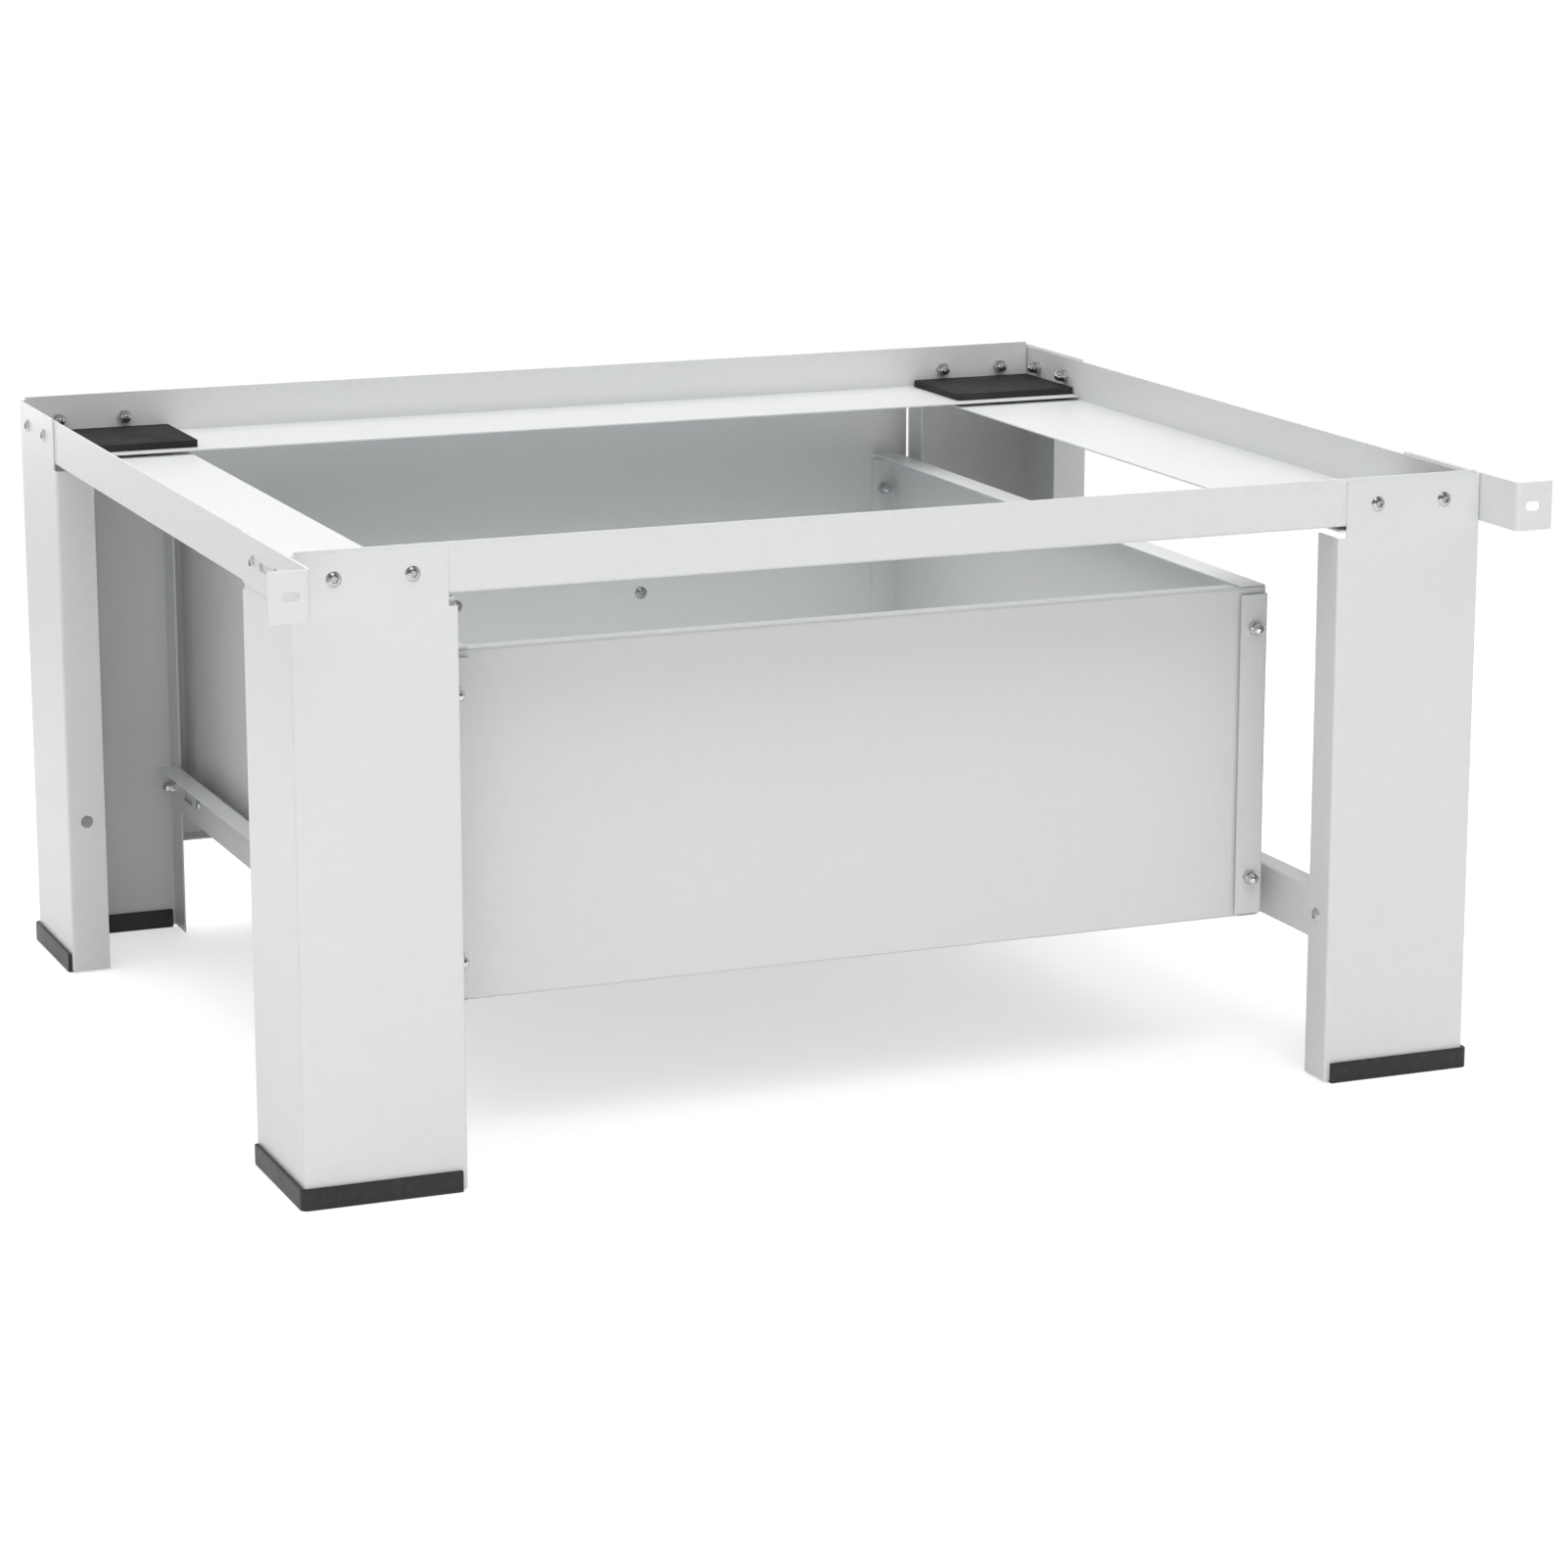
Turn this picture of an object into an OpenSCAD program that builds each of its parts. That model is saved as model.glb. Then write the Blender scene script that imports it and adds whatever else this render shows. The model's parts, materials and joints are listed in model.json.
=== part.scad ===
// Raised stand for a front-loading laundry machine, with one sheet-metal drawer
// on ball-bearing slides. Millimetres. The front of the stand faces -Y, +X is to
// the right seen from the front, and Z = 0 is the floor.

/* [Frame] */
// Width over the outer faces of the legs
frame_w = 625.4; // [560:0.1:700]
// Depth over the outer faces of the legs
frame_d = 535.4; // [500:0.1:620]
// Height of the tops of the legs above the floor
frame_h = 312.7; // [300:0.1:400]
// Thickness of the painted sheet
sheet_t = 1; // [0.8:0.1:1.2]
// Inner radius of the bends in the sheet
bend_r = 0.5; // [0.4:0.1:1.4]

/* [Legs] */
// Width of each of a leg's two faces
leg_w = 81; // [70:0.5:90]
// Depth of the lip folded in at the end of each face
leg_lip = 21; // [18:0.5:24]
// Gap between the top of the lips and the side rails above them
lip_gap = 3; // [2:0.5:10]
// How much narrower the faces are above the lips
face_step = 4.6; // [3:0.1:8]
// Diameter of the spare hole in each leg's second lip
spare_hole_d = 7; // [5:0.5:8]
// Distance of that hole from the leg's side face
spare_hole_in = 10.7; // [8:0.1:13]

/* [Foot caps] */
// How far a foot cap stands proud of the sheet on each side
cap_proud = 2.3; // [1.5:0.1:3]
// Height of the foot caps
cap_h = 10.7; // [8:0.1:16]
// Thickness of the cap under the edge of the sheet
cap_floor = 1; // [0.8:0.1:3]
// How far the caps stop short of the ends of the faces
cap_end_gap = 2.9; // [2:0.1:6]
// Radius of the outer corner of a cap
cap_corner_r = 3.5; // [2:0.5:4]

/* [Top rails] */
// Height of the upright edge of a rail
rail_h = 24.5; // [22:0.5:32]
// How far the front and rear rails stand above the tops of the legs
rail_proud = 1.8; // [0:0.1:4]
// How much lower the side rails lie, with their flats under those of the front and rear
rail_step = 2.8; // [1.2:0.1:4]
// Width of the flat of the front and rear rails
front_rail_w = 74; // [70:1:80]
// Width of the flat of the side rails
side_rail_w = 78.5; // [74:0.5:84]

/* [Corner pads] */
// Length of a pad along the width of the stand
pad_l = 76; // [50:1:78]
// Width of a pad along the depth of the stand
pad_w = 65; // [40:1:68]
// Thickness of a pad
pad_t = 4.1; // [2:0.1:5]
// Gap between the left pads and the left rail
pad_gap_left = 0.3; // [0.2:0.1:8]
// Gap between the right pads and the right rail
pad_gap_right = 6.2; // [0.2:0.1:8]

/* [Wall brackets] */
// Thickness of a bracket
bracket_t = 1.5; // [1:0.1:2]
// Height of a bracket
bracket_h = 24.5; // [20:0.5:26]
// Length of the strap along the leg
bracket_run = 74; // [68:1:75]
// How far the bracket reaches behind the legs
bracket_reach = 35.3; // [20:0.1:60]
// Width of the tab that turns outwards
tab_w = 20.3; // [18:0.1:30]
// Distance of the slot's centre from the leg's side face
slot_in = 9.6; // [9:0.1:12]
// Length of the slot in the tab
slot_l = 8.7; // [6.5:0.1:10]
// Width of the slot in the tab
slot_w = 5; // [4:0.1:6]
// Length of the slot in the strap, whose rear end holds the rear screw
strap_slot_l = 31; // [6:0.5:31]

/* [Fasteners] */
// Diameter of the screws
screw_d = 4; // [3.5:0.1:4.5]
// Clearance of the screw holes, on the diameter
hole_play = 0.5; // [0.3:0.1:1]
// Diameter of the round screw heads
head_d = 7.6; // [6.5:0.1:8.5]
// Height of the round screw heads
head_h = 1.8; // [1.5:0.1:2.6]
// Width across the flats of the cap nuts
nut_af = 7; // [6.6:0.1:8]
// Height of the cap nuts
nut_h = 7.5; // [7:0.1:9]
// Distances from the corner to the screws in the front and rear faces
face_screws = [21, 59];
// Distances from the corner to the screws in the side faces
side_screws = [18, 56];
// Distance from the top of the front rail down to those screws
screw_drop = 13.8; // [12:0.1:14.5]

/* [Runner rails] */
// Height of the runner rails
runner_h = 26.5; // [26:0.5:34]
// Width of the lip along the top of a runner rail
runner_lip = 12; // [8:0.5:16]
// Gap between the ends of a runner rail and the legs' faces
runner_end_gap = 5; // [3:0.5:8]
// How far the lip stops short of the end of the rail
runner_lip_cut = 12; // [8:0.5:16]
// Distance from the leg's face to the bolt in its lip
runner_bolt_in = 13; // [9:0.1:14]
// Length of the open slot near the front of a runner rail
runner_slot_l = 19; // [12:0.5:24]
// Width of that slot
runner_slot_w = 4; // [3:0.5:6]
// Distance of the slot's middle from the front end of the slide
runner_slot_in = 18.2; // [14:0.1:22]
// How far the slot lies below the middle of the slide
runner_slot_drop = 2.2; // [0:0.1:4]

/* [Slides] */
// Length of a slide
slide_l = 400; // [400:1:455]
// Height of a slide
slide_h = 17; // [16:0.5:19]
// Thickness of a slide, which is the gap beside the drawer
slide_w = 9.6; // [9.4:0.1:10.5]
// Thickness of the slide's sheet
slide_t = 0.9; // [0.7:0.1:0.9]
// Height of the slides' middle above the bottom of the drawer box
slide_up = 10; // [10:0.5:13]
// Distances from the ends of a slide to its end rivets, front and rear
slide_fix_in = [42.5, 50];
// How far the drawer opens
travel = 290; // [240:1:290]
// Diameter of the balls
ball_d = 2.8; // [2.6:0.1:3]
// Balls in each row
ball_n = 8; // [4:1:8]
// Distance between balls
ball_pitch = 15; // [10:0.5:16]

/* [Drawer box] */
// Depth of the drawer box behind its front
box_d = 478.2; // [470:0.1:485]
// Height of the bottom of the box above the floor
box_z = 76.5; // [66:0.5:86]
// Height of the box
box_h = 175.5; // [150:0.5:190]
// Width of the lip along the top of the box's sides
box_lip = 15.2; // [12:0.1:20]
// Width of the upright flanges at the ends of the sides
box_flange = 15.2; // [14:0.1:18]
// How far the rear flanges stand behind the back
flange_proud = 3.2; // [2.5:0.1:5]
// Width of the flange under the bottom
box_foot = 12; // [9:0.5:16]
// Width of the fold along the top of the back
back_fold = 11; // [6:0.5:16]
// Thickness of the bottom sheet
bottom_t = 0.8; // [0.6:0.1:1]
// Distance of the corner screws from the top and bottom of the box
box_screw_in = 21.8; // [16:0.1:30]

/* [Drawer front] */
// Height of the front's lower edge above the floor
front_z = 54; // [40:1:64]
// Gap between the front's upper edge and the rail above it
front_top_gap = 4; // [2:0.5:8]
// Gap between the front and the legs beside it
front_side_gap = 1; // [0.8:0.1:1.5]
// Depth of the front's folded upper and lower edges
front_fold = 15; // [10:0.5:20]

/* [Handle] */
// Distance between the handle's two screws
handle_pitch = 116; // [96:1:160]
// Height of the handle above the floor
handle_z = 176.5; // [140:0.5:200]
// How far the handle stands out from the front
handle_reach = 32; // [28:1:40]
// Diameter of the handle's bar
handle_bar_d = 10; // [9:0.5:12]
// Radius of the handle's bends, to the middle of the bar
handle_bend_r = 12; // [9:0.5:15]

/* [Hidden] */

$fn = 48;
paint = [0.93, 0.94, 0.94];
steel = [0.72, 0.73, 0.75];
black = [0.1, 0.1, 0.11];

half_w = frame_w / 2;
half_d = frame_d / 2;
bend_out = bend_r + sheet_t;             // outer radius of a bend
seat_gap = 0.2;                          // clearance between nested sheets
hole_d = screw_d + hole_play;
nut_grip = 0.6 * nut_h;                  // how far a screw reaches into its cap nut

// Heights of the top rails, from the top down
rail_top_z = frame_h + rail_proud;
side_top_z = rail_top_z - rail_step;
front_flat_z = rail_top_z - rail_h;      // underside of the front and rear rails
side_flat_z = side_top_z - rail_h;       // underside of the side rails
frame_screw_z = rail_top_z - screw_drop;
lip_top_z = side_flat_z - lip_gap;

// The origin is under the middle of the whole stand, handle and brackets included
origin_y = (half_d + handle_reach - (half_d + bracket_reach)) / 2;

// Across the stand, from the legs' lips in to the drawer
lip_x = half_w - leg_w;                  // inner face of the legs' lips
runner_x = lip_x + sheet_t;              // inner face of the runner rails
box_x = runner_x - slide_w;              // outer face of the drawer's sides
front_x = lip_x - front_side_gap;        // end of the drawer's front
nest_x = box_x - bend_out - seat_gap;    // what fits between the drawer's sides

// Along the drawer, from the front back
box_front_y = -half_d + sheet_t;         // the box starts behind the front sheet
box_back_y = box_front_y + box_d;
back_sheet_y = box_back_y - flange_proud; // rear face of the back sheet

// Up the drawer
flange_clear_low = 0.5;                  // between the end flanges and the bends below
flange_clear_top = 3;                    // and above them
box_top_z = box_z + box_h;
front_top_z = front_flat_z - front_top_gap;
slide_z = box_z + slide_up;              // middle of the slides
runner_z = slide_z - runner_h / 2;
flange_low_z = box_z + bend_out + flange_clear_low;
flange_top_z = box_top_z - bend_out - flange_clear_top;
box_screw_zs = [box_z + box_screw_in, box_top_z - box_screw_in];
box_screw_x = box_x - box_flange / 2;
boss_d = 9;                              // bosses pressed into the rear flanges

// Slides: the outer member starts just behind the front legs' lips
slide_front_y = -half_d + leg_lip + sheet_t;
slide_mid_y = slide_front_y + slide_l / 2;
ball_play = 0.3;
race_r = ball_d / 2 + ball_play;
race_out = race_r + slide_t;
ball_z = slide_h / 2 - race_out;         // above and below the slide's middle
ball_x = (slide_w + slide_t) / 2 - 0.35; // from the drawer's side outwards
race_wrap = 50;                          // degrees that a race curls past the ball's top
cage_t = 0.6;
cage_l = slide_l - travel;
cage_clear = 0.7;                        // between the cage and the outer member
cage_web_x = slide_w - slide_t - cage_clear - cage_t;
rivet_head_h = 0.4;
rivet_tail_h = 1.2;
slide_fix_ys = [slide_front_y + slide_fix_in[0], slide_mid_y,
    slide_front_y + slide_l - slide_fix_in[1]];
inner_tip = 0.8;                         // screw tip past the inner member

// ---------- helpers ----------

function unit(v) = v / norm(v);

// Bent strip of sheet along a right-angled path through the middle of the sheet
module bent_strip(path, t = sheet_t, r = bend_r) {
    last = len(path) - 1;
    mid_r = r + t / 2;
    far = 2 * (r + t);
    for (i = [0 : last - 1]) {
        run = path[i + 1] - path[i];
        from_start = i == 0 ? 0 : mid_r;
        from_end = i == last - 1 ? 0 : mid_r;
        translate(path[i] + unit(run) * from_start)
            rotate(atan2(run[1], run[0]))
                translate([0, -t / 2]) square([norm(run) - from_start - from_end, t]);
    }
    for (i = [1 : last - 1]) {
        a = unit(path[i] - path[i - 1]);
        b = unit(path[i + 1] - path[i]);
        translate(path[i] - mid_r * a + mid_r * b) intersection() {
            difference() {
                circle(r + t);
                circle(r);
            }
            polygon([[0, 0], -b * far, (a - b) * far, a * far]);
        }
    }
}

// Extrusions of an outline drawn in the plane across the axis
module along_x(length) {
    rotate([90, 0, 90]) linear_extrude(length, center = true) children();
}

module between_y(y0, y1) {
    translate([0, y1, 0]) rotate([90, 0, 0]) linear_extrude(y1 - y0) children();
}

module between_z(z0, z1) {
    translate([0, 0, z0]) linear_extrude(z1 - z0) children();
}

// Turn something that points along +Z to point along an axis
module face_x(s) { rotate([0, 90 * s, 0]) children(); }
module face_y(s) { rotate([-90 * s, 0, 0]) children(); }

// The row's frame: its origin is under the middle of the stand
module placed() { translate([0, origin_y, 0]) children(); }

// One corner of the stand, drawn with its outer corner at 0,0 and running inwards
module corner(sx, sy) {
    translate([sx * half_w, sy * half_d, 0])
        mirror([sx > 0 ? 1 : 0, 0, 0]) mirror([0, sy > 0 ? 1 : 0, 0]) children();
}

// Left or right half, drawn on the right
module on_side(sx) { mirror([sx < 0 ? 1 : 0, 0, 0]) children(); }

module screw_hole(d = hole_d, depth = 4 * sheet_t) {
    cylinder(h = depth, d = d, center = true);
}

// Slot along X through a sheet that faces Y
module slot_hole(length, width, depth) {
    straight = length - width;
    for (s = [-1, 1]) translate([s * straight / 2, 0, 0]) face_y(1) screw_hole(width, depth);
    cube([straight, depth, width], center = true);
}

// Round-headed screw with a hexagon socket; the head sits on z = 0 and looks along +Z
module button_screw(length) {
    dome_r = (pow(head_d / 2, 2) + pow(head_h, 2)) / (2 * head_h);
    socket_d = 0.48 * head_d;
    difference() {
        intersection() {
            translate([0, 0, head_h - dome_r]) sphere(dome_r);
            cylinder(h = head_h, d = head_d);
        }
        translate([0, 0, 0.45 * head_h]) cylinder(h = head_h, d = socket_d, $fn = 6);
    }
    translate([0, 0, -length]) cylinder(h = length + 0.2, d = screw_d);
}

// Domed cap nut; its seat is z = 0 and it stands along +Z, with a blind thread
module cap_nut() {
    hex_h = 0.45 * nut_h;
    hex_d = nut_af / cos(30);
    dome_d = 0.88 * nut_af;
    thread_h = 0.75 * nut_h;
    difference() {
        union() {
            intersection() {
                cylinder(h = hex_h, d = hex_d, $fn = 6);
                cylinder(h = hex_h, d1 = hex_d, d2 = nut_af * 0.99);
            }
            cylinder(h = nut_h - dome_d / 2, d = dome_d);
            translate([0, 0, nut_h - dome_d / 2]) sphere(d = dome_d);
        }
        translate([0, 0, -1]) cylinder(h = thread_h + 1, d = screw_d + 0.1);
    }
}

// ---------- frame ----------

module leg(sx, sy) {
    mid = sheet_t / 2;
    lip_mid = leg_w - mid;
    placed() corner(sx, sy) color(paint) difference() {
        union() {
            between_z(cap_floor, lip_top_z)
                bent_strip([[lip_mid, leg_lip], [lip_mid, mid], [mid, mid], [mid, lip_mid],
                    [leg_lip, lip_mid]]);
            between_z(cap_floor, frame_h)
                bent_strip([[leg_w - face_step, mid], [mid, mid], [mid, leg_w - face_step]]);
        }
        for (x = face_screws)
            translate([x, mid, frame_screw_z]) face_y(1) screw_hole();
        for (y = side_screws)
            translate([mid, y, frame_screw_z]) face_x(1) screw_hole();
        translate([lip_mid, runner_bolt_in, slide_z]) face_x(1) screw_hole();
        translate([spare_hole_in, lip_mid, slide_z]) face_y(1) screw_hole(spare_hole_d);
    }
}

module foot_cap(sx, sy) {
    mid = sheet_t / 2;
    cap_w = sheet_t + 2 * cap_proud;
    cap_l = leg_w - cap_end_gap + cap_proud;
    groove_t = sheet_t + seat_gap;
    placed() corner(sx, sy) color(black) difference() {
        translate([-cap_proud, -cap_proud, 0]) linear_extrude(cap_h) {
            translate([cap_corner_r, 0]) square([cap_l - cap_corner_r, cap_w]);
            translate([0, cap_corner_r]) square([cap_w, cap_l - cap_corner_r]);
            translate([cap_corner_r, cap_corner_r]) circle(cap_corner_r);
        }
        between_z(cap_floor, cap_h + 1)
            bent_strip([[leg_w, mid], [mid, mid], [mid, leg_w]], groove_t,
                bend_r - seat_gap / 2);
    }
}

// Outline of an angle rail: upright at the left, flat to the right
module rail_outline(top_z, flat_w) {
    mid = sheet_t / 2;
    flat_mid_z = top_z - rail_h + mid;
    bent_strip([[mid, top_z], [mid, flat_mid_z], [flat_w, flat_mid_z]]);
}

module cross_rail(sy) {
    length = 2 * (half_w - 2 * sheet_t - bend_r - seat_gap);
    placed() mirror([0, sy > 0 ? 1 : 0, 0]) color(paint) difference() {
        along_x(length)
            translate([-half_d + sheet_t, 0]) rail_outline(rail_top_z, front_rail_w);
        for (sx = [-1, 1], x = face_screws)
            translate([sx * (half_w - x), -half_d + 1.5 * sheet_t, frame_screw_z])
                face_y(1) screw_hole();
    }
}

module side_rail(sx) {
    end_y = half_d - sheet_t - bend_r - seat_gap;
    placed() on_side(-sx) color(paint) difference() {
        between_y(-end_y, end_y)
            translate([-half_w + sheet_t, 0]) rail_outline(side_top_z, side_rail_w);
        for (sy = [-1, 1], y = side_screws)
            translate([-half_w + 1.5 * sheet_t, sy * (half_d - y), frame_screw_z])
                face_x(1) screw_hole();
    }
}

module corner_pad(sx, sy) {
    from_side = 2 * sheet_t + (sx < 0 ? pad_gap_left : pad_gap_right);
    from_face = 2 * sheet_t + bend_r + seat_gap;
    round_r = 2;
    placed() corner(sx, sy) color(black)
        translate([from_side, from_face, front_flat_z + sheet_t]) linear_extrude(pad_t) {
            translate([round_r, 0]) square([pad_l - 2 * round_r, pad_w]);
            translate([0, round_r]) square([pad_l, pad_w - 2 * round_r]);
            for (x = [round_r, pad_l - round_r], y = [round_r, pad_w - round_r])
                translate([x, y]) circle(round_r);
        }
}

module wall_bracket(sx) {
    mid = bracket_t / 2;
    back_y = half_d + bracket_reach;
    slot_back_y = half_d - side_screws[0] + hole_d / 2;
    placed() on_side(sx) color(paint) difference() {
        between_z(frame_screw_z - bracket_h / 2, frame_screw_z + bracket_h / 2)
            bent_strip([[half_w + mid, half_d - bracket_run], [half_w + mid, back_y - mid],
                [half_w + tab_w, back_y - mid]], bracket_t, bracket_t);
        translate([half_w + mid, half_d - side_screws[1], frame_screw_z])
            face_x(1) screw_hole(hole_d, 2 * bracket_t);
        translate([half_w + mid, slot_back_y - strap_slot_l / 2, frame_screw_z])
            rotate([0, 0, 90]) slot_hole(strap_slot_l, hole_d, 2 * bracket_t);
        translate([half_w + slot_in, back_y - mid, frame_screw_z])
            slot_hole(slot_l, slot_w, 2 * bracket_t);
    }
}

// Screws and cap nuts of the frame: heads outside, nuts inside
module cross_screws(sy) {
    placed() color(steel)
        for (sx = [-1, 1], x = face_screws)
            translate([sx * (half_w - x), sy * half_d, frame_screw_z])
                face_y(sy) button_screw(2 * sheet_t + nut_grip);
}

module cross_nuts(sy) {
    placed() color(steel)
        for (sx = [-1, 1], x = face_screws)
            translate([sx * (half_w - x), sy * (half_d - 2 * sheet_t), frame_screw_z])
                face_y(-sy) cap_nut();
}

module side_screws_row(sx) {
    placed() color(steel)
        for (sy = [-1, 1], y = side_screws) {
            under_head = sy > 0 ? bracket_t : 0;
            translate([sx * (half_w + under_head), sy * (half_d - y), frame_screw_z])
                face_x(sx) button_screw(under_head + 2 * sheet_t + nut_grip);
        }
}

module side_nuts_row(sx) {
    placed() color(steel)
        for (sy = [-1, 1], y = side_screws)
            translate([sx * (half_w - 2 * sheet_t), sy * (half_d - y), frame_screw_z])
                face_x(-sx) rotate([0, 0, 30]) cap_nut();
}

// ---------- runner rails and slides ----------

module runner_rail(sx) {
    mid = sheet_t / 2;
    web_x = runner_x + mid;
    end_y = half_d - sheet_t - runner_end_gap;
    lip_end_y = end_y - runner_lip_cut;
    top_z = runner_z + runner_h;
    placed() on_side(sx) color(paint) difference() {
        union() {
            between_y(-lip_end_y, lip_end_y)
                bent_strip([[web_x, runner_z], [web_x, top_z - mid],
                    [runner_x + runner_lip, top_z - mid]]);
            between_y(-end_y, end_y)
                translate([runner_x, runner_z]) square([sheet_t, runner_h - bend_out]);
        }
        for (sy = [-1, 1])
            translate([web_x, sy * (half_d - runner_bolt_in), slide_z]) face_x(1) screw_hole();
        for (y = slide_fix_ys)
            translate([web_x, y, slide_z]) face_x(1) screw_hole();
        translate([web_x, slide_front_y + runner_slot_in, slide_z - runner_slot_drop])
            rotate([0, 0, 90]) slot_hole(runner_slot_l, runner_slot_w, 4 * sheet_t);
    }
}

module runner_bolts() {
    for (sx = [-1, 1], sy = [-1, 1])
        translate([sx * lip_x, sy * (half_d - runner_bolt_in), slide_z]) on_side(sx) children();
}

module runner_screws() {
    placed() color(steel) runner_bolts() face_x(-1) button_screw(2 * sheet_t + nut_grip);
}

module runner_nuts() {
    placed() color(steel) runner_bolts() translate([2 * sheet_t, 0, 0]) face_x(1) cap_nut();
}

// Half of a slide member's outline, mirrored below the slide's middle
module both_halves() {
    children();
    mirror([0, 1]) children();
}

// Part of the curled race round a row of balls, between two angles under 90 apart
module race_arc(from, to) {
    far = 2 * race_out;
    translate([ball_x, ball_z]) intersection() {
        difference() {
            circle(race_out);
            circle(race_r);
        }
        polygon([[0, 0], far * [cos(from), sin(from)],
            far * 1.4 * [cos((from + to) / 2), sin((from + to) / 2)], far * [cos(to), sin(to)]]);
    }
}

module slide_outer_outline() {
    translate([slide_w - slide_t, -slide_h / 2]) square([slide_t, slide_h]);
    both_halves() {
        translate([ball_x, slide_h / 2 - slide_t]) square([slide_w - ball_x, slide_t]);
        race_arc(90, 90 + race_wrap);
    }
}

module slide_inner_outline() {
    plate_z = ball_z - race_out;
    translate([0, -plate_z - slide_t]) square([slide_t, 2 * (plate_z + slide_t)]);
    both_halves() {
        translate([0, plate_z]) square([ball_x, slide_t]);
        race_arc(-race_wrap, 0 - 90);
    }
}

module slide_outer(sx) {
    placed() on_side(sx) color(steel) difference() {
        between_y(slide_front_y, slide_front_y + slide_l)
            translate([box_x, slide_z]) slide_outer_outline();
        for (y = slide_fix_ys)
            translate([runner_x - slide_t / 2, y, slide_z]) face_x(1) screw_hole(hole_d, 2);
    }
}

module slide_outer_rivets() {
    head_x = runner_x - slide_t;
    placed() color(steel) for (sx = [-1, 1], y = slide_fix_ys)
        on_side(sx) translate([head_x, y, slide_z]) face_x(1) {
            translate([0, 0, -rivet_head_h]) cylinder(h = rivet_head_h, d = head_d);
            cylinder(h = slide_t + sheet_t, d = screw_d);
            translate([0, 0, slide_t + sheet_t]) cylinder(h = rivet_tail_h, d1 = 5.4, d2 = 4.6);
        }
}

module slide_inner(sx) {
    placed() on_side(sx) color(steel) difference() {
        between_y(slide_front_y, slide_front_y + slide_l)
            translate([box_x, slide_z]) slide_inner_outline();
        for (y = slide_fix_ys)
            translate([box_x + slide_t / 2, y, slide_z]) face_x(1) screw_hole(hole_d, 2);
    }
}

// Screws from inside the drawer through its side into the slide's inner member
module slide_inner_screws() {
    placed() color(steel) for (sx = [-1, 1], y = slide_fix_ys)
        on_side(sx) translate([box_x - sheet_t, y, slide_z])
            face_x(-1) button_screw(sheet_t + slide_t + inner_tip);
}

function ball_ys() = [for (i = [0 : ball_n - 1])
    slide_mid_y + (i - (ball_n - 1) / 2) * ball_pitch];

module ball_cage(sx) {
    tip_x = ball_x - 2.4;
    web_x = cage_web_x + cage_t / 2;
    placed() on_side(sx) color(steel)
        translate([box_x, 0, slide_z]) difference() {
            between_y(slide_mid_y - cage_l / 2, slide_mid_y + cage_l / 2)
                bent_strip([[tip_x, ball_z], [web_x, ball_z], [web_x, -ball_z], [tip_x, -ball_z]],
                    cage_t, cage_t);
            for (y = ball_ys(), s = [-1, 1])
                translate([ball_x, y, s * ball_z]) screw_hole(ball_d + 0.3, 3 * cage_t);
        }
}

module slide_balls(sx) {
    placed() on_side(sx) color(steel)
        for (y = ball_ys(), s = [-1, 1])
            translate([box_x + ball_x, y, slide_z + s * ball_z]) sphere(d = ball_d, $fn = 24);
}

// ---------- drawer ----------

module drawer_front() {
    mid = sheet_t / 2;
    face_mid_y = -half_d + mid;
    placed() color(paint) difference() {
        along_x(2 * front_x)
            bent_strip([[-half_d + front_fold, front_top_z - mid],
                [face_mid_y, front_top_z - mid], [face_mid_y, front_z + mid],
                [-half_d + front_fold, front_z + mid]]);
        for (sx = [-1, 1])
            translate([sx * handle_pitch / 2, face_mid_y, handle_z])
                face_y(1) screw_hole();
    }
}

// Studs welded to the inside of the front, for the sides' front flanges
module drawer_front_studs() {
    stud_l = sheet_t + nut_grip;
    placed() color(steel) for (sx = [-1, 1], z = box_screw_zs)
        translate([sx * box_screw_x, box_front_y, z])
            face_y(1) cylinder(h = stud_l, d = screw_d);
}

module drawer_side(sx) {
    mid = sheet_t / 2;
    wall_x = box_x - mid;
    flange_x = box_x - box_flange;
    placed() on_side(sx) color(paint) difference() {
        union() {
            between_y(box_front_y + bend_out, back_sheet_y)
                bent_strip([[box_x - box_lip, box_top_z - mid], [wall_x, box_top_z - mid],
                    [wall_x, box_z + mid], [box_x - box_foot, box_z + mid]]);
            between_z(flange_low_z, flange_top_z)
                bent_strip([[flange_x, box_front_y + mid], [wall_x, box_front_y + mid],
                    [wall_x, box_back_y - mid], [flange_x, box_back_y - mid]]);
            for (z = box_screw_zs)
                translate([box_screw_x, back_sheet_y, z])
                    face_y(1) cylinder(h = flange_proud - mid, d = boss_d);
        }
        for (z = box_screw_zs) {
            translate([box_screw_x, box_front_y + mid, z]) face_y(1) screw_hole();
            translate([box_screw_x, back_sheet_y + flange_proud / 2, z])
                face_y(1) screw_hole(hole_d, 2 * flange_proud);
        }
        for (y = slide_fix_ys)
            translate([wall_x, y, slide_z]) face_x(1) screw_hole();
        for (y = bottom_rivet_ys())
            translate([bottom_rivet_x(), y, box_z + mid]) screw_hole(rivet_hole_d());
    }
}

// Rivets that hold the bottom sheet to the flanges below it
function rivet_hole_d() = 3.4;
function bottom_rivet_x() = box_x - box_foot / 2 - sheet_t / 2;
function bottom_rivet_ys() = [for (i = [-1 : 1])
    (box_front_y + box_back_y) / 2 + i * 0.42 * box_d];
function back_rivet_xs() = [for (i = [-1 : 1]) i * 0.62 * nest_x];
function back_rivet_y() = back_sheet_y - sheet_t - box_foot / 2;

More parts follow.
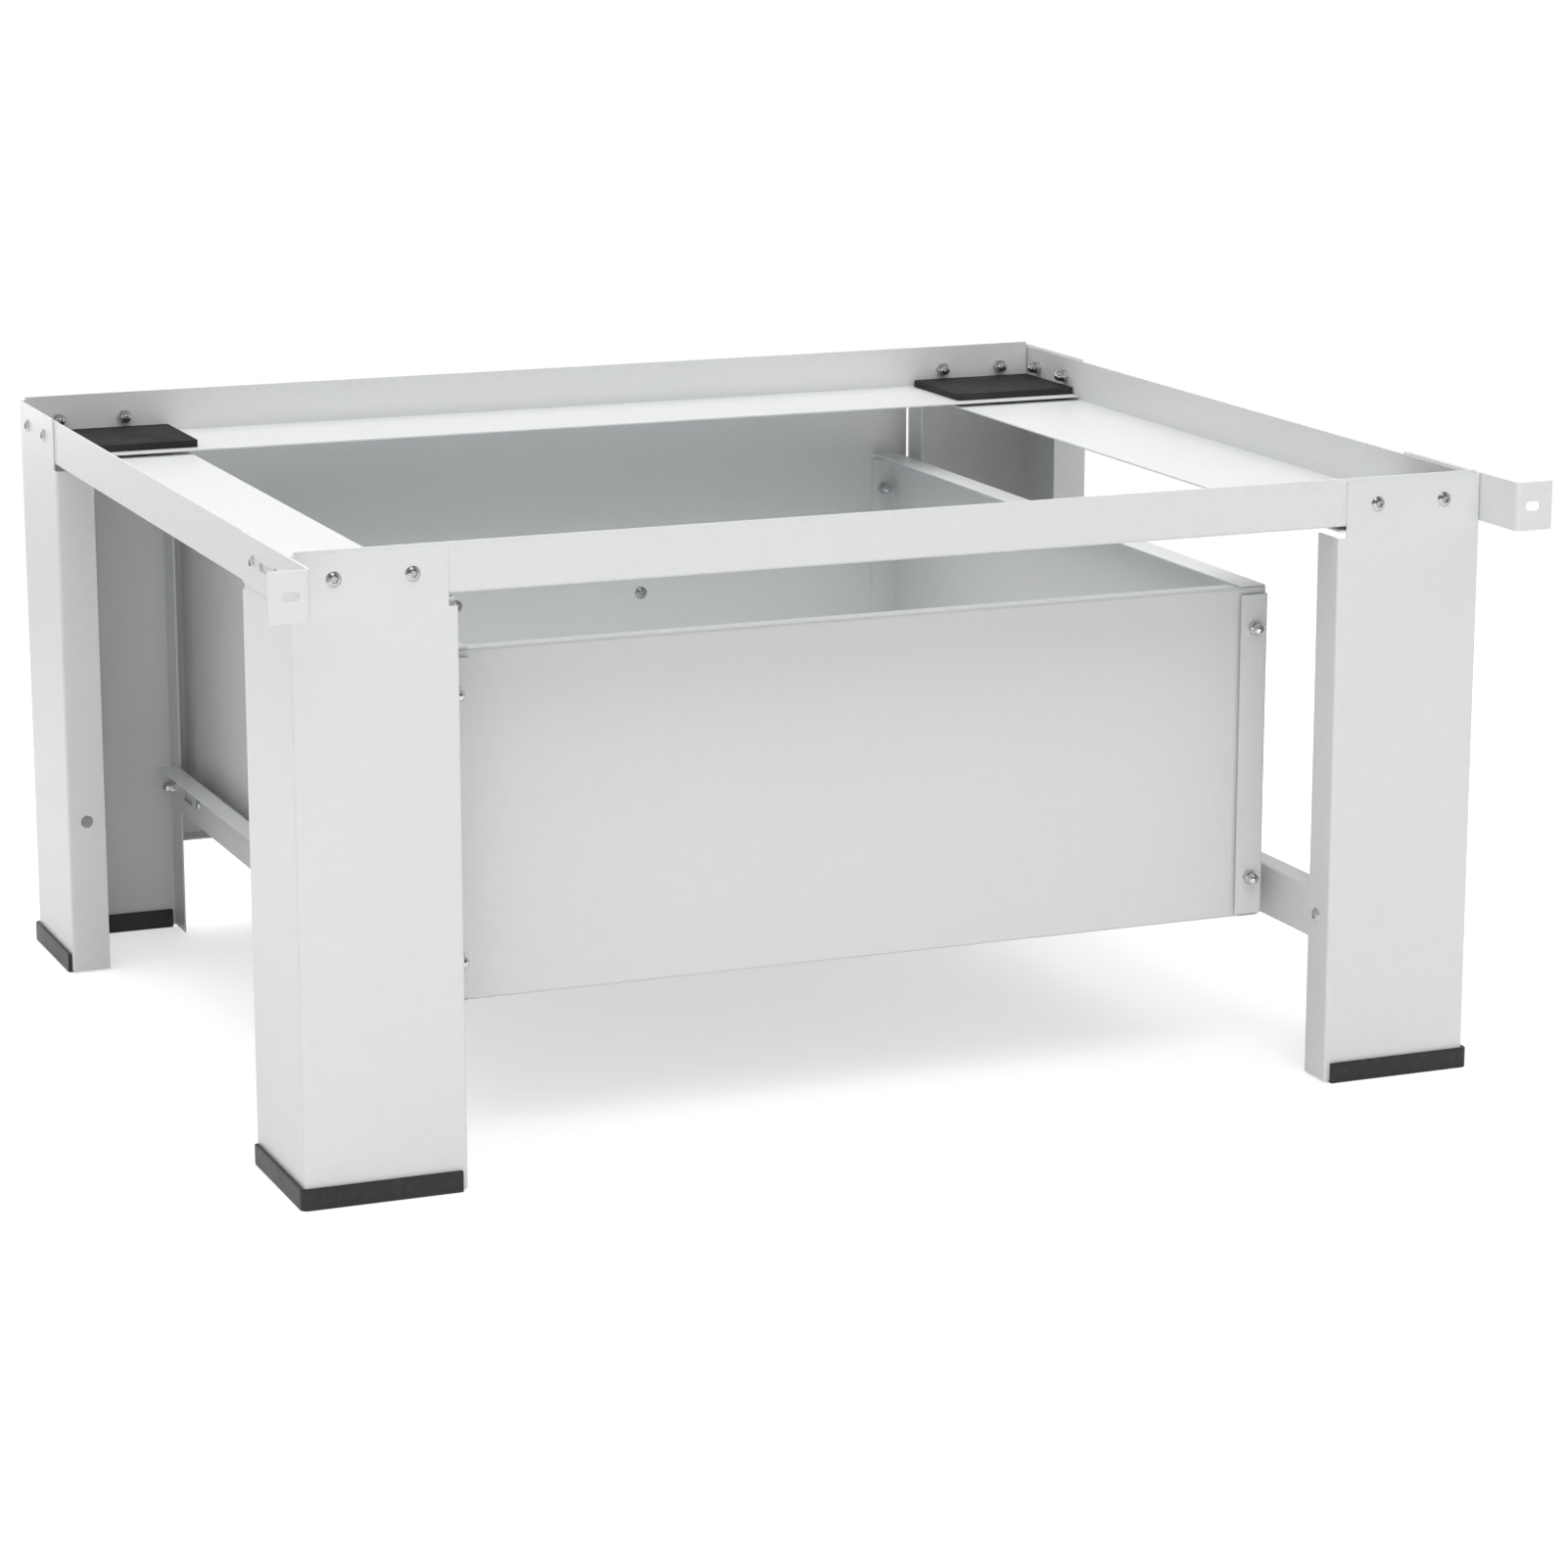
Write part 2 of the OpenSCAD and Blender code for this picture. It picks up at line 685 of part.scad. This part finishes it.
module drawer_back() {
    mid = sheet_t / 2;
    sheet_y = back_sheet_y - mid;
    top_z = box_top_z - sheet_t - seat_gap - mid;
    fold_y = back_sheet_y - back_fold;
    placed() color(paint) difference() {
        union() {
            along_x(2 * nest_x)
                bent_strip([[fold_y, top_z], [sheet_y, top_z], [sheet_y, flange_low_z]]);
            along_x(2 * (box_x - box_foot - seat_gap))
                bent_strip([[sheet_y, flange_low_z + 1], [sheet_y, box_z + mid],
                    [back_sheet_y - box_foot, box_z + mid]]);
        }
        for (sx = [-1, 1], z = box_screw_zs)
            translate([sx * box_screw_x, sheet_y, z]) face_y(1) screw_hole();
        for (x = back_rivet_xs())
            translate([x, back_rivet_y(), box_z + mid]) screw_hole(rivet_hole_d());
    }
}

module drawer_bottom() {
    front_y = box_front_y + sheet_t + seat_gap;
    back_y = back_sheet_y - sheet_t - bend_r - seat_gap;
    placed() color(paint) difference() {
        translate([-nest_x, front_y, box_z + sheet_t])
            cube([2 * nest_x, back_y - front_y, bottom_t]);
        for (sx = [-1, 1], y = bottom_rivet_ys())
            translate([sx * bottom_rivet_x(), y, box_z + sheet_t]) screw_hole(rivet_hole_d());
        for (x = back_rivet_xs())
            translate([x, back_rivet_y(), box_z + sheet_t]) screw_hole(rivet_hole_d());
    }
}

module drawer_bottom_rivet() {
    grip = sheet_t + bottom_t;
    head_r = 3.2;
    dome_h = 1;
    dome_r = (head_r * head_r + dome_h * dome_h) / (2 * dome_h);
    intersection() {
        translate([0, 0, grip + dome_h - dome_r]) sphere(dome_r);
        translate([0, 0, grip]) cylinder(h = dome_h, r = head_r);
    }
    cylinder(h = grip + dome_h / 2, d = rivet_hole_d() - 0.2);
    translate([0, 0, -1.3]) cylinder(h = 1.3, d1 = 4, d2 = 4.8);
}

module drawer_bottom_rivets() {
    placed() color(steel) {
        for (sx = [-1, 1], y = bottom_rivet_ys())
            translate([sx * bottom_rivet_x(), y, box_z]) drawer_bottom_rivet();
        for (x = back_rivet_xs())
            translate([x, back_rivet_y(), box_z]) drawer_bottom_rivet();
    }
}

// Cap nuts on the front's studs, behind the sides' front flanges
module drawer_front_nuts() {
    placed() color(steel) for (sx = [-1, 1], z = box_screw_zs)
        translate([sx * box_screw_x, box_front_y + sheet_t, z]) face_y(1) cap_nut();
}

// Screws through the back sheet and the sides' rear flanges, with cap nuts behind. The
// bosses pressed into the flanges rest on the back sheet.
module drawer_back_screws() {
    placed() color(steel) for (sx = [-1, 1], z = box_screw_zs)
        translate([sx * box_screw_x, back_sheet_y - sheet_t, z])
            face_y(-1) button_screw(sheet_t + flange_proud + nut_grip);
}

module drawer_back_nuts() {
    placed() color(steel) for (sx = [-1, 1], z = box_screw_zs)
        translate([sx * box_screw_x, box_back_y, z]) face_y(1) cap_nut();
}

// ---------- handle ----------

handle_y = -half_d - handle_reach + handle_bar_d / 2;
handle_thread_h = 12;

module handle() {
    bend_y = handle_y + handle_bend_r;
    placed() color(steel) difference() {
        union() {
            for (sx = [-1, 1]) on_side(sx) {
                translate([handle_pitch / 2, bend_y, handle_z])
                    face_y(1) cylinder(h = -half_d - bend_y, d = handle_bar_d);
                translate([handle_pitch / 2 - handle_bend_r, bend_y, handle_z])
                    rotate([0, 0, -90]) rotate_extrude(angle = 90)
                        translate([handle_bend_r, 0]) circle(d = handle_bar_d);
            }
            translate([0, handle_y, handle_z]) face_x(1)
                cylinder(h = handle_pitch - 2 * handle_bend_r, d = handle_bar_d, center = true);
        }
        for (sx = [-1, 1])
            translate([sx * handle_pitch / 2, -half_d, handle_z])
                face_y(-1) translate([0, 0, -1])
                    cylinder(h = handle_thread_h + 1, d = screw_d + 0.1);
    }
}

module handle_screws() {
    placed() color(steel) for (sx = [-1, 1])
        translate([sx * handle_pitch / 2, -half_d + sheet_t, handle_z])
            face_y(1) button_screw(sheet_t + handle_thread_h - 2);
}

// ---------- nodes ----------

leg(-1, -1);  // leg_front_left
leg(1, -1);  // leg_front_right
leg(-1, 1);  // leg_rear_left
leg(1, 1);  // leg_rear_right
foot_cap(-1, -1);  // foot_cap_front_left
foot_cap(1, -1);  // foot_cap_front_right
foot_cap(-1, 1);  // foot_cap_rear_left
foot_cap(1, 1);  // foot_cap_rear_right
cross_rail(-1);  // top_rail_front
cross_rail(1);  // top_rail_rear
side_rail(-1);  // top_rail_left
side_rail(1);  // top_rail_right
corner_pad(-1, -1);  // pad_front_left
corner_pad(1, -1);  // pad_front_right
corner_pad(-1, 1);  // pad_rear_left
corner_pad(1, 1);  // pad_rear_right
wall_bracket(-1);  // wall_bracket_left
wall_bracket(1);  // wall_bracket_right
cross_screws(-1);  // frame_screws_front
cross_screws(1);  // frame_screws_rear
side_screws_row(-1);  // frame_screws_left
side_screws_row(1);  // frame_screws_right
cross_nuts(-1);  // frame_nuts_front
cross_nuts(1);  // frame_nuts_rear
side_nuts_row(-1);  // frame_nuts_left
side_nuts_row(1);  // frame_nuts_right
runner_rail(-1);  // runner_rail_left
runner_rail(1);  // runner_rail_right
runner_screws();
runner_nuts();
slide_outer(-1);  // slide_outer_left
slide_outer(1);  // slide_outer_right
slide_outer_rivets();
ball_cage(-1);  // ball_cage_left
ball_cage(1);  // ball_cage_right
slide_balls(-1);  // slide_balls_left
slide_balls(1);  // slide_balls_right
slide_inner(-1);  // slide_inner_left
slide_inner(1);  // slide_inner_right
slide_inner_screws();
drawer_front();
drawer_side(-1);  // drawer_side_left
drawer_side(1);  // drawer_side_right
drawer_back();
drawer_bottom();
drawer_front_studs();
drawer_front_nuts();
drawer_back_screws();
drawer_back_nuts();
drawer_bottom_rivets();
handle();
handle_screws();
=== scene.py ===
import json
import math

import bpy
from mathutils import Matrix, Vector

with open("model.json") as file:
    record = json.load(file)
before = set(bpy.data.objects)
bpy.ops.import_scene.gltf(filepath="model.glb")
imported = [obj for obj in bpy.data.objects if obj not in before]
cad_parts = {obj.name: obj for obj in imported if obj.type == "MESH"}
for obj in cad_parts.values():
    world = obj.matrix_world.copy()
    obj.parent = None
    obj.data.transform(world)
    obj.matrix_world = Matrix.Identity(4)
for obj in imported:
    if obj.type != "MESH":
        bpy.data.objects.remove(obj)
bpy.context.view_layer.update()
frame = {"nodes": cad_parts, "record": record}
NODES = frame["nodes"]
SLOTS = {s["node"]: s["material_slot"] for s in frame["record"]["subparts"]}

# ---------------------------------------------------------------- node helpers


class Graph:
    """Short way to write the node graph of a material or a world."""

    def __init__(self, owner, output="ShaderNodeOutputMaterial"):
        self.owner = owner
        owner.use_nodes = True
        self.tree = owner.node_tree
        self.tree.nodes.clear()
        self.out = self.add(output)

    def add(self, kind, **settings):
        node = self.tree.nodes.new(kind)
        for key, value in settings.items():
            setattr(node, key, value)
        return node

    def link(self, source, target):
        self.tree.links.new(source, target)

    def put(self, socket, value):
        """Links another node's output to a socket, or sets a constant on it."""
        if hasattr(value, "is_output"):
            self.link(value, socket)
        else:
            socket.default_value = value

    def coords(self, scale=None):
        where = self.add("ShaderNodeTexCoord")
        if scale is None:
            return where.outputs["Object"]
        stretch = self.add("ShaderNodeMapping")
        self.link(where.outputs["Object"], stretch.inputs["Vector"])
        stretch.inputs["Scale"].default_value = scale
        return stretch.outputs["Vector"]

    def noise(self, scale, detail=2.0, roughness=0.5, at=None):
        node = self.add("ShaderNodeTexNoise")
        self.link(at or self.coords(), node.inputs["Vector"])
        node.inputs["Scale"].default_value = scale
        node.inputs["Detail"].default_value = detail
        node.inputs["Roughness"].default_value = roughness
        return node.outputs["Fac"]

    def cells(self, scale, feature="F1"):
        node = self.add("ShaderNodeTexVoronoi", feature=feature)
        self.link(self.coords(), node.inputs["Vector"])
        node.inputs["Scale"].default_value = scale
        return node.outputs["Distance"]

    def span(self, value, low, high, to_low, to_high, smooth=False):
        """Maps low..high to to_low..to_high, and holds the ends beyond them."""
        node = self.add("ShaderNodeMapRange", clamp=True)
        if smooth:
            node.interpolation_type = "SMOOTHSTEP"
        self.put(node.inputs["Value"], value)
        node.inputs["From Min"].default_value = low
        node.inputs["From Max"].default_value = high
        self.put(node.inputs["To Min"], to_low)
        self.put(node.inputs["To Max"], to_high)
        return node.outputs["Result"]

    def math(self, operation, a, b):
        node = self.add("ShaderNodeMath", operation=operation)
        self.put(node.inputs[0], a)
        self.put(node.inputs[1], b)
        return node.outputs["Value"]

    def blend(self, factor, a, b):
        node = self.add("ShaderNodeMix", data_type="RGBA")
        self.put(node.inputs["Factor"], factor)
        self.put(node.inputs[6], a)
        self.put(node.inputs[7], b)
        return node.outputs[2]

    def bump(self, height, strength, distance, normal=None):
        node = self.add("ShaderNodeBump")
        node.inputs["Strength"].default_value = strength
        node.inputs["Distance"].default_value = distance
        self.link(height, node.inputs["Height"])
        if normal is not None:
            self.link(normal, node.inputs["Normal"])
        return node.outputs["Normal"]

    def edges(self, low, high):
        """1 along convex edges, 0 on flats."""
        geometry = self.add("ShaderNodeNewGeometry")
        return self.span(geometry.outputs["Pointiness"], low, high, 0.0, 1.0)

    def surface(self, color, roughness, normal, metallic=0.0, **constants):
        shader = self.add("ShaderNodeBsdfPrincipled")
        self.put(shader.inputs["Base Color"], color)
        self.put(shader.inputs["Roughness"], roughness)
        shader.inputs["Metallic"].default_value = metallic
        for key, value in constants.items():
            shader.inputs[key.replace("_", " ")].default_value = value
        self.link(normal, shader.inputs["Normal"])
        self.link(shader.outputs["BSDF"], self.out.inputs["Surface"])
        return self.owner


def material_graph(name):
    return Graph(bpy.data.materials.new(name))


def rgba(r, g=None, b=None):
    return (r, r if g is None else g, r if b is None else b, 1.0)


# ------------------------------------------------------------------- materials


def powder_coat():
    """White powder coat: faint orange peel, slow drift of tone, greyer along edges."""
    g = material_graph("white_powder_coat")
    drift = g.noise(7.0, 3.0)
    mottling = g.noise(90.0, 2.0)
    tone = g.blend(g.span(drift, 0.35, 0.65, 0.0, 1.0),
                   rgba(0.785, 0.797, 0.804), rgba(0.793, 0.803, 0.808))
    rubbed = g.math("MULTIPLY", g.edges(0.515, 0.56),
                    g.span(g.noise(160.0, 4.0), 0.45, 0.7, 0.0, 0.25))
    tone = g.blend(rubbed, tone, rgba(0.70, 0.71, 0.72))
    roughness = g.math("ADD", g.span(mottling, 0.3, 0.7, 0.29, 0.33),
                       g.span(g.noise(18.0, 5.0, 0.6), 0.5, 0.8, 0.0, 0.05))
    peel = g.bump(g.noise(420.0, 1.0), 0.35, 0.00005)
    peel = g.bump(g.noise(1500.0, 1.5), 0.25, 0.00002, peel)
    return g.surface(tone, roughness, peel, Specular_IOR_Level=0.5, IOR=1.5)


def moulded_black():
    """Black moulded caps: fine grain, faint scuffs along their edges."""
    g = material_graph("black_cap")
    scuffs = g.math("MULTIPLY", g.edges(0.52, 0.58),
                    g.span(g.noise(260.0, 4.0), 0.5, 0.7, 0.0, 0.3))
    tone = g.blend(g.span(g.noise(14.0, 2.0), 0.35, 0.65, 0.0, 1.0),
                   rgba(0.025, 0.025, 0.026), rgba(0.029, 0.029, 0.030))
    tone = g.blend(scuffs, tone, rgba(0.075))
    roughness = g.span(g.noise(40.0, 3.0), 0.3, 0.7, 0.42, 0.48)
    normal = g.bump(g.cells(1900.0), 0.12, 0.00003)
    return g.surface(tone, roughness, normal, Specular_IOR_Level=0.3)


def sheet_rubber():
    """Pads cut from rubber sheet: open grain with a little dust."""
    g = material_graph("black_pad")
    pores = g.cells(900.0, feature="SMOOTH_F1")
    tone = g.blend(g.span(g.noise(30.0, 4.0), 0.3, 0.7, 0.0, 1.0),
                   rgba(0.024, 0.025, 0.026), rgba(0.040, 0.041, 0.043))
    dust = g.span(g.noise(700.0, 4.0, 0.7), 0.55, 0.75, 0.0, 0.30)
    tone = g.blend(dust, tone, rgba(0.12, 0.12, 0.125))
    roughness = g.span(g.noise(90.0, 3.0), 0.3, 0.7, 0.68, 0.85)
    normal = g.bump(pores, 0.5, 0.00018)
    normal = g.bump(g.noise(2600.0, 2.0), 0.4, 0.00006, normal)
    return g.surface(tone, roughness, normal, Specular_IOR_Level=0.2)


def bright_metal(name, color, rough_low, rough_high, scratch_scale, streaks=None):
    """Plated or rolled steel: streaks, hairline scratches, dull patches."""
    g = material_graph(name)
    along = g.noise(scratch_scale, 4.0, 0.6, g.coords(streaks))
    patches = g.noise(55.0, 4.0, 0.55)
    dull = [0.86 * part for part in color]
    tone = g.blend(g.span(patches, 0.3, 0.7, 0.0, 1.0), rgba(*color), rgba(*dull))
    tone = g.blend(g.span(along, 0.55, 0.8, 0.0, 0.35), tone, rgba(0.42, 0.43, 0.45))
    roughness = g.math("ADD", g.span(along, 0.3, 0.7, rough_low, rough_high),
                       g.span(patches, 0.5, 0.75, 0.0, 0.06))
    normal = g.bump(along, 0.4, 0.00002)
    return g.surface(tone, roughness, normal, metallic=1.0)


MATERIALS = {
    "white_powder_coat": powder_coat(),
    "black_cap": moulded_black(),
    "black_pad": sheet_rubber(),
    "screw_steel": bright_metal("screw_steel", (0.52, 0.52, 0.53), 0.20, 0.30, 900.0),
    "nut_chrome": bright_metal("nut_chrome", (0.66, 0.66, 0.67), 0.08, 0.20, 700.0),
    "zinc_steel": bright_metal("zinc_steel", (0.60, 0.61, 0.63), 0.26, 0.42, 500.0,
                               streaks=(1.0, 0.03, 1.0)),
    "ball_steel": bright_metal("ball_steel", (0.72, 0.72, 0.73), 0.04, 0.10, 1200.0),
    "handle_steel": bright_metal("handle_steel", (0.62, 0.62, 0.61), 0.22, 0.36, 1500.0,
                                 streaks=(0.02, 1.0, 1.0)),
}

# ------------------------------------------------- finish of the carried-over nodes

# Width of the rounding on the sharp edges of each material, in metres
EDGE = {
    "white_powder_coat": 0.00022,
    "black_cap": 0.0006,
    "black_pad": 0.0005,
    "zinc_steel": 0.00012,
}
WELD_WITHIN = 2e-6          # metres between points that are one point
FLAT_WITHIN = 0.3           # degrees between faces that are one flat
SHARP_OVER = 38.0           # degrees at an edge that is rounded


def soften(node, width):
    """Rounds a node's sharp edges a little, as paint or a die does, with modifiers only."""
    weld = node.modifiers.new("weld", "WELD")
    weld.merge_threshold = WELD_WITHIN
    flat = node.modifiers.new("flat", "DECIMATE")
    flat.decimate_type = "DISSOLVE"
    flat.angle_limit = math.radians(FLAT_WITHIN)
    round_off = node.modifiers.new("round", "BEVEL")
    round_off.width = width
    round_off.segments = 2
    round_off.limit_method = "ANGLE"
    round_off.angle_limit = math.radians(SHARP_OVER)
    round_off.use_clamp_overlap = False
    round_off.miter_outer = "MITER_ARC"
    shade = node.modifiers.new("shade", "WEIGHTED_NORMAL")
    shade.keep_sharp = False
    shade.weight = 50


for name, node in NODES.items():
    slot = SLOTS[name]
    node.data.materials.clear()
    node.data.materials.append(MATERIALS[slot])
    for face in node.data.polygons:
        face.use_smooth = True
    if slot in EDGE and not name.startswith("ball_cage"):
        soften(node, EDGE[slot])

# ------------------------------------------------------------------ floor and light

FLOOR_HALF = 14.0           # metres from the middle of the floor to its edge
FLOOR_TONE = 0.70
FLOOR_GLOW = 0.54           # what eye and mirrors see on top of the lit floor
SHADOW_REACH = (0.7, 1.5)   # metres over which the floor turns plain white

# Light from the room at low, middle and high angles, and the heights between them, which
# like all heights here are the sine of the angle above the horizon
SKY_LIGHT = (0.15, 0.48, 1.62)
LOW_TO_MIDDLE = (0.20, 0.32)
MIDDLE_TO_HIGH = (0.58, 0.70)

# What metal and gloss see: white, dimmer overhead and in the half of the room behind
OVERHEAD = (0.35, 0.85)
OVERHEAD_SEEN = 0.30
BEHIND = (0.10, 0.60)
BEHIND_SEEN = 0.16

MIDDLE = (0, 0, 0.15)       # what the lamps aim at
LOW_STRIP = (1.8, 0.26)     # width and height of the two lamps near the floor


def stage_material():
    """White floor that still takes the object's shadow, and is plain white further out."""
    g = material_graph("floor")
    path = g.add("ShaderNodeLightPath")
    seen = g.math("MAXIMUM", path.outputs["Is Camera Ray"], path.outputs["Is Glossy Ray"])
    seen = g.math("MAXIMUM", seen, path.outputs["Is Transmission Ray"])
    distance = g.add("ShaderNodeVectorMath", operation="LENGTH")
    g.link(g.coords(), distance.inputs[0])
    fade = g.span(distance.outputs["Value"], *SHADOW_REACH, 0.0, 1.0, smooth=True)
    far_out = g.math("MULTIPLY", seen, fade)
    diffuse = g.add("ShaderNodeBsdfDiffuse")
    diffuse.inputs["Color"].default_value = rgba(FLOOR_TONE)
    glow = g.add("ShaderNodeEmission")
    glow.inputs["Color"].default_value = rgba(1.0)
    g.link(g.math("MULTIPLY", seen, FLOOR_GLOW), glow.inputs["Strength"])
    near = g.add("ShaderNodeAddShader")
    g.link(diffuse.outputs["BSDF"], near.inputs[0])
    g.link(glow.outputs["Emission"], near.inputs[1])
    white = g.add("ShaderNodeEmission")
    white.inputs["Color"].default_value = rgba(1.0)
    mixed = g.add("ShaderNodeMixShader")
    g.link(far_out, mixed.inputs[0])
    g.link(near.outputs["Shader"], mixed.inputs[1])
    g.link(white.outputs["Emission"], mixed.inputs[2])
    g.link(mixed.outputs["Shader"], g.out.inputs["Surface"])
    return g.owner


def floor():
    size = FLOOR_HALF
    mesh = bpy.data.meshes.new("floor")
    corners = [(-size, -size, 0), (size, -size, 0), (size, size, 0), (-size, size, 0)]
    mesh.from_pydata(corners, [], [(0, 1, 2, 3)])
    obj = bpy.data.objects.new("floor", mesh)
    bpy.context.scene.collection.objects.link(obj)
    obj.data.materials.append(stage_material())


def sky():
    """Soft room light by height above the horizon. The camera sees plain white, and metal
    sees the same white, dimmer overhead and towards the back of the room."""
    low, middle, high = SKY_LIGHT
    world = bpy.data.worlds.new("studio")
    bpy.context.scene.world = world
    g = Graph(world, "ShaderNodeOutputWorld")
    where = g.add("ShaderNodeTexCoord")
    parts = g.add("ShaderNodeSeparateXYZ")
    g.link(where.outputs["Generated"], parts.inputs["Vector"])
    height = parts.outputs["Z"]
    upper = g.span(height, *MIDDLE_TO_HIGH, middle, high, smooth=True)
    light = g.span(height, *LOW_TO_MIDDLE, low, upper, smooth=True)
    overhead = g.span(height, *OVERHEAD, 1.0, OVERHEAD_SEEN, smooth=True)
    mirrored = g.span(parts.outputs["Y"], *BEHIND, overhead, BEHIND_SEEN, smooth=True)
    path = g.add("ShaderNodeLightPath")
    lit = g.span(path.outputs["Is Glossy Ray"], 0.0, 1.0, light, mirrored, smooth=True)
    seen = g.math("MAXIMUM", path.outputs["Is Camera Ray"],
                  path.outputs["Is Transmission Ray"])
    shade = g.add("ShaderNodeBackground")
    shade.inputs["Color"].default_value = rgba(1.0)
    g.link(g.span(seen, 0.0, 1.0, lit, 1.0, smooth=True), shade.inputs["Strength"])
    g.link(shade.outputs["Background"], g.out.inputs["Surface"])


def area(name, at, size, watts):
    """Rectangular lamp that looks at the middle of the object."""
    light = bpy.data.lights.new(name, "AREA")
    light.shape = "RECTANGLE"
    light.size, light.size_y = size
    light.energy = watts
    obj = bpy.data.objects.new(name, light)
    obj.location = at
    aim = Vector(MIDDLE) - Vector(at)
    obj.rotation_euler = aim.to_track_quat("-Z", "Y").to_euler()
    bpy.context.scene.collection.objects.link(obj)


floor()
sky()
area("rear_light", (0.3, 1.6, 2.4), (1.2, 1.0), 7.5)
area("rear_low_light", (0.8, 2.4, 0.14), LOW_STRIP, 7.6)
area("front_low_light", (0, -2.3, 0.14), LOW_STRIP, 5.2)

# ------------------------------------------------------------------------- camera


def camera():
    """The photograph's viewpoint, fitted without its lens shift. Yaw, pitch and roll are
    in radians, and pitch is positive downwards."""
    at = Vector((0.88534, 2.25829, 0.68379))
    yaw, pitch, roll = -0.389, 0.2277, -0.0005
    level = math.cos(pitch)
    ahead = Vector((math.sin(yaw) * level, -math.cos(yaw) * level, -math.sin(pitch)))
    right = ahead.cross(Vector((0, 0, 1))).normalized()
    up = right.cross(ahead)
    x_axis = right * math.cos(roll) + up * math.sin(roll)
    y_axis = up * math.cos(roll) - right * math.sin(roll)
    data = bpy.data.cameras.new("camera")
    data.lens = 105.32
    data.sensor_width = 36.0
    data.clip_end = 60.0
    obj = bpy.data.objects.new("camera", data)
    turn = Matrix((x_axis, y_axis, -ahead)).transposed().to_4x4()
    obj.matrix_world = Matrix.Translation(at) @ turn
    bpy.context.scene.collection.objects.link(obj)
    bpy.context.scene.camera = obj


camera()
bpy.context.scene.view_settings.view_transform = "Standard"
